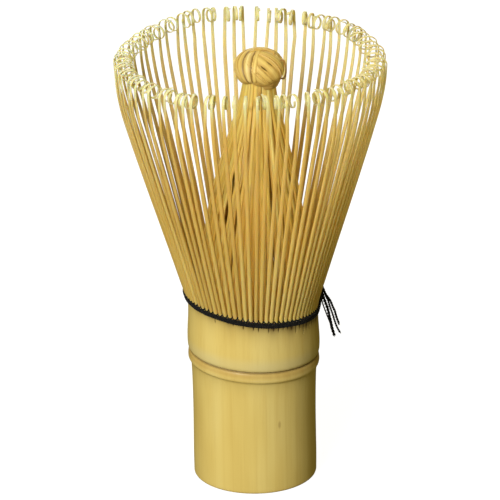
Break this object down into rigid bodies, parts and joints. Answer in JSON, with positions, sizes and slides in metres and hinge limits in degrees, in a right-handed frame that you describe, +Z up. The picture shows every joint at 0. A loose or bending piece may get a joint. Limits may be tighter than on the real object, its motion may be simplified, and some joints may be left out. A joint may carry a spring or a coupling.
{
  "type": "bamboo tea whisk",
  "caption": "Bamboo tea whisk: hollow culm handle split into a flared ring of curled outer tines round a knotted inner cone, bound with dark thread.",
  "frame": {"origin": "centre of the foot ring the whisk stands on", "axes": "+Z up along the culm towards the tine tips, -Y towards the front, +X to the side where the thread is tied off"},
  "size_m": [0.0652, 0.0652, 0.1099],
  "materials": {
    "culm_skin": "smooth bamboo skin, satin, fine vertical fibres",
    "node_band": "tan node ridge, satin",
    "culm_flesh": "raw matt bamboo flesh",
    "outer_tine_bamboo": "split bamboo, satin skin outside",
    "inner_tine_bamboo": "split bamboo, warm and matt",
    "knot_bamboo": "shaved bamboo strips folded over each other",
    "thread": "twisted black cotton, matt"
  },
  "bodies": {
    "culm": {"handle_tube": "culm_skin", "node_ring": "node_band", "node_septum": "culm_flesh", "collar": "culm_skin", "inner_tines_01": "inner_tine_bamboo", "inner_tines_02": "inner_tine_bamboo", "inner_tines_03": "inner_tine_bamboo", "inner_tines_04": "inner_tine_bamboo", "inner_tines_05": "inner_tine_bamboo", "inner_tines_06": "inner_tine_bamboo", "inner_tines_07": "inner_tine_bamboo", "inner_tines_08": "inner_tine_bamboo", "inner_tines_09": "inner_tine_bamboo", "inner_tines_10": "inner_tine_bamboo", "inner_tines_11": "inner_tine_bamboo", "inner_tines_12": "inner_tine_bamboo", "inner_tines_13": "inner_tine_bamboo", "inner_tines_14": "inner_tine_bamboo", "inner_tines_15": "inner_tine_bamboo", "inner_tines_16": "inner_tine_bamboo", "tip_knot": "knot_bamboo", "thread_winding": "thread", "thread_knot": "thread", "thread_tail_1": "thread", "thread_tail_2": "thread", "thread_tail_3": "thread", "thread_tail_4": "thread"},
    "outer_splint_01": {"outer_tines_01": "outer_tine_bamboo"},
    "outer_splint_02": {"outer_tines_02": "outer_tine_bamboo"},
    "outer_splint_03": {"outer_tines_03": "outer_tine_bamboo"},
    "outer_splint_04": {"outer_tines_04": "outer_tine_bamboo"},
    "outer_splint_05": {"outer_tines_05": "outer_tine_bamboo"},
    "outer_splint_06": {"outer_tines_06": "outer_tine_bamboo"},
    "outer_splint_07": {"outer_tines_07": "outer_tine_bamboo"},
    "outer_splint_08": {"outer_tines_08": "outer_tine_bamboo"},
    "outer_splint_09": {"outer_tines_09": "outer_tine_bamboo"},
    "outer_splint_10": {"outer_tines_10": "outer_tine_bamboo"},
    "outer_splint_11": {"outer_tines_11": "outer_tine_bamboo"},
    "outer_splint_12": {"outer_tines_12": "outer_tine_bamboo"},
    "outer_splint_13": {"outer_tines_13": "outer_tine_bamboo"},
    "outer_splint_14": {"outer_tines_14": "outer_tine_bamboo"},
    "outer_splint_15": {"outer_tines_15": "outer_tine_bamboo"},
    "outer_splint_16": {"outer_tines_16": "outer_tine_bamboo"}
  },
  "joints": [
    {"name": "splint_01_flex", "type": "hinge", "parent": "culm", "child": "outer_splint_01", "pos_m": [0.0155, 0.00308, 0.0463], "axis": [-0.1951, 0.9808, 0], "range_deg": [-3, 5], "stiffness_Nm_per_rad": 0.01},
    {"name": "splint_02_flex", "type": "hinge", "parent": "culm", "child": "outer_splint_02", "pos_m": [0.01314, 0.00878, 0.0463], "axis": [-0.5556, 0.8315, 0], "range_deg": [-3, 5], "stiffness_Nm_per_rad": 0.01},
    {"name": "splint_03_flex", "type": "hinge", "parent": "culm", "child": "outer_splint_03", "pos_m": [0.00878, 0.01314, 0.0463], "axis": [-0.8315, 0.5556, 0], "range_deg": [-3, 5], "stiffness_Nm_per_rad": 0.01},
    {"name": "splint_04_flex", "type": "hinge", "parent": "culm", "child": "outer_splint_04", "pos_m": [0.00308, 0.0155, 0.0463], "axis": [-0.9808, 0.1951, 0], "range_deg": [-3, 5], "stiffness_Nm_per_rad": 0.01},
    {"name": "splint_05_flex", "type": "hinge", "parent": "culm", "child": "outer_splint_05", "pos_m": [-0.00308, 0.0155, 0.0463], "axis": [-0.9808, -0.1951, 0], "range_deg": [-3, 5], "stiffness_Nm_per_rad": 0.01},
    {"name": "splint_06_flex", "type": "hinge", "parent": "culm", "child": "outer_splint_06", "pos_m": [-0.00878, 0.01314, 0.0463], "axis": [-0.8315, -0.5556, 0], "range_deg": [-3, 5], "stiffness_Nm_per_rad": 0.01},
    {"name": "splint_07_flex", "type": "hinge", "parent": "culm", "child": "outer_splint_07", "pos_m": [-0.01314, 0.00878, 0.0463], "axis": [-0.5556, -0.8315, 0], "range_deg": [-3, 5], "stiffness_Nm_per_rad": 0.01},
    {"name": "splint_08_flex", "type": "hinge", "parent": "culm", "child": "outer_splint_08", "pos_m": [-0.0155, 0.00308, 0.0463], "axis": [-0.1951, -0.9808, 0], "range_deg": [-3, 5], "stiffness_Nm_per_rad": 0.01},
    {"name": "splint_09_flex", "type": "hinge", "parent": "culm", "child": "outer_splint_09", "pos_m": [-0.0155, -0.00308, 0.0463], "axis": [0.1951, -0.9808, 0], "range_deg": [-3, 5], "stiffness_Nm_per_rad": 0.01},
    {"name": "splint_10_flex", "type": "hinge", "parent": "culm", "child": "outer_splint_10", "pos_m": [-0.01314, -0.00878, 0.0463], "axis": [0.5556, -0.8315, 0], "range_deg": [-3, 5], "stiffness_Nm_per_rad": 0.01},
    {"name": "splint_11_flex", "type": "hinge", "parent": "culm", "child": "outer_splint_11", "pos_m": [-0.00878, -0.01314, 0.0463], "axis": [0.8315, -0.5556, 0], "range_deg": [-3, 5], "stiffness_Nm_per_rad": 0.01},
    {"name": "splint_12_flex", "type": "hinge", "parent": "culm", "child": "outer_splint_12", "pos_m": [-0.00308, -0.0155, 0.0463], "axis": [0.9808, -0.1951, 0], "range_deg": [-3, 5], "stiffness_Nm_per_rad": 0.01},
    {"name": "splint_13_flex", "type": "hinge", "parent": "culm", "child": "outer_splint_13", "pos_m": [0.00308, -0.0155, 0.0463], "axis": [0.9808, 0.1951, 0], "range_deg": [-3, 5], "stiffness_Nm_per_rad": 0.01},
    {"name": "splint_14_flex", "type": "hinge", "parent": "culm", "child": "outer_splint_14", "pos_m": [0.00878, -0.01314, 0.0463], "axis": [0.8315, 0.5556, 0], "range_deg": [-3, 5], "stiffness_Nm_per_rad": 0.01},
    {"name": "splint_15_flex", "type": "hinge", "parent": "culm", "child": "outer_splint_15", "pos_m": [0.01314, -0.00878, 0.0463], "axis": [0.5556, 0.8315, 0], "range_deg": [-3, 5], "stiffness_Nm_per_rad": 0.01},
    {"name": "splint_16_flex", "type": "hinge", "parent": "culm", "child": "outer_splint_16", "pos_m": [0.0155, -0.00308, 0.0463], "axis": [0.1951, 0.9808, 0], "range_deg": [-3, 5], "stiffness_Nm_per_rad": 0.01}
  ]
}
